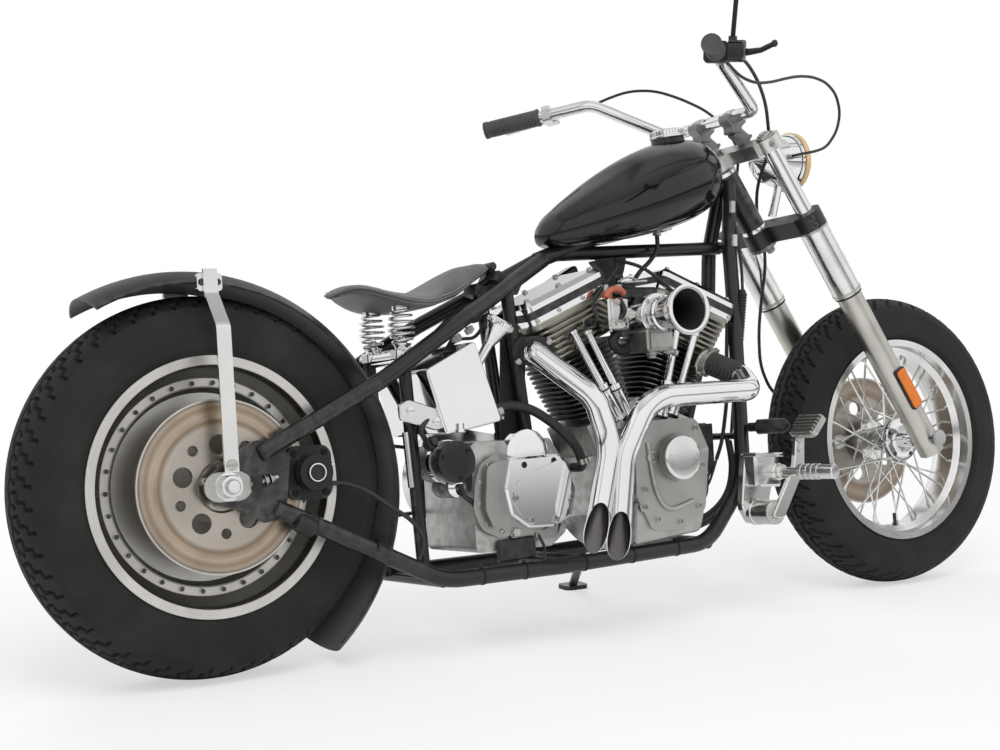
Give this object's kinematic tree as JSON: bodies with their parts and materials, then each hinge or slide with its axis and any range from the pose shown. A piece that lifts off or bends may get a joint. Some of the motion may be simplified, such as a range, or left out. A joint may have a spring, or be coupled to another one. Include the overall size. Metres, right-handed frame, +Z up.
{
  "type": "chopper motorcycle",
  "caption": "Rigid-framed chopper motorcycle with an air-cooled V-twin, sprung solo seat and raked fork, leaning on its side stand; wheels, steering and stand move.",
  "frame": {"origin": "centre of the bounding box on the floor the tyres and the stand's foot rest on", "axes": "+X forward, +Y to the rider's left (the side it leans to), +Z up"},
  "size_m": [2.2406, 0.832, 1.3699],
  "materials": {
    "tyre": "matt black rubber",
    "black_rubber": "satin black rubber",
    "polished_alloy": "polished",
    "raw_alloy": "bead-blasted",
    "chrome": "mirror bright plating",
    "rotor_steel": "turned, lightly browned",
    "turned_alloy": "machined, satin",
    "satin_black": "satin black",
    "fin_black": "heat-proof black over cast fins",
    "grip_rubber": "dark grey, ribbed",
    "spring_steel": "drawn wire",
    "black_paint": "gloss black",
    "leather": "charcoal black, grained",
    "amber_lens": "clear moulded",
    "lens_glass": "clear"
  },
  "bodies": {
    "frame": {"frame_tubes": "black_paint", "rear_axle": "chrome", "rear_caliper": "black_paint", "rear_fender": "satin_black", "fender_struts": "chrome", "seat": "leather", "seat_springs": "spring_steel", "oil_tank": "chrome", "starter": "chrome", "gearbox": "raw_alloy", "gearbox_cover": "chrome", "crankcase": "raw_alloy", "cam_cover": "raw_alloy", "cylinders": "fin_black", "heads": "raw_alloy", "rocker_boxes": "chrome", "pushrod_tubes": "chrome", "carburettor": "raw_alloy", "air_horn": "chrome", "exhaust_pipes": "chrome", "primary_cover": "polished_alloy", "drive_belt": "black_rubber", "fuel_tank": "black_paint", "fuel_cap": "chrome", "regulator": "black_paint", "foot_controls": "polished_alloy", "turn_signals": "satin_black", "oil_hose": "black_rubber", "rear_brake_hose": "black_rubber", "fuel_line": "black_rubber"},
    "steering": {"fork_sliders": "polished_alloy", "fork_tubes": "chrome", "triple_clamps": "chrome", "front_axle": "chrome", "front_caliper": "black_paint", "reflectors": "amber_lens", "headlight": "chrome", "headlight_lens": "lens_glass", "handlebar": "chrome", "risers": "raw_alloy", "grips": "grip_rubber", "brake_control": "satin_black", "clutch_control": "polished_alloy", "mirror": "satin_black", "brake_hose": "black_rubber", "throttle_cable": "black_rubber", "clutch_cable": "black_rubber"},
    "front_wheel": {"front_tyre": "tyre", "front_wheel": "chrome", "front_rotor": "rotor_steel"},
    "rear_wheel": {"rear_tyre": "tyre", "rear_wheel": "turned_alloy", "rear_rotor": "rotor_steel", "rear_pulley": "polished_alloy"},
    "side_stand": {"side_stand": "black_paint"}
  },
  "joints": [
    {"name": "rear_wheel_spin", "type": "hinge", "parent": "frame", "child": "rear_wheel", "pos_m": [-0.79509, -0.08414, 0.32432], "axis": [0, 0.9925, -0.1219], "continuous": true},
    {"name": "steering", "type": "hinge", "parent": "frame", "child": "steering", "pos_m": [0.76918, -0.08807, 0.29231], "axis": [-0.5255, 0.1037, 0.8445], "range_deg": [-30, 30]},
    {"name": "front_wheel_spin", "type": "hinge", "parent": "steering", "child": "front_wheel", "pos_m": [0.80491, -0.08538, 0.31421], "axis": [0, 0.9925, -0.1219], "continuous": true},
    {"name": "side_stand", "type": "hinge", "parent": "frame", "child": "side_stand", "pos_m": [0.06491, 0.02864, 0.0941], "axis": [0.0683, 0.5046, 0.8606], "range_deg": [0, 103]}
  ]
}
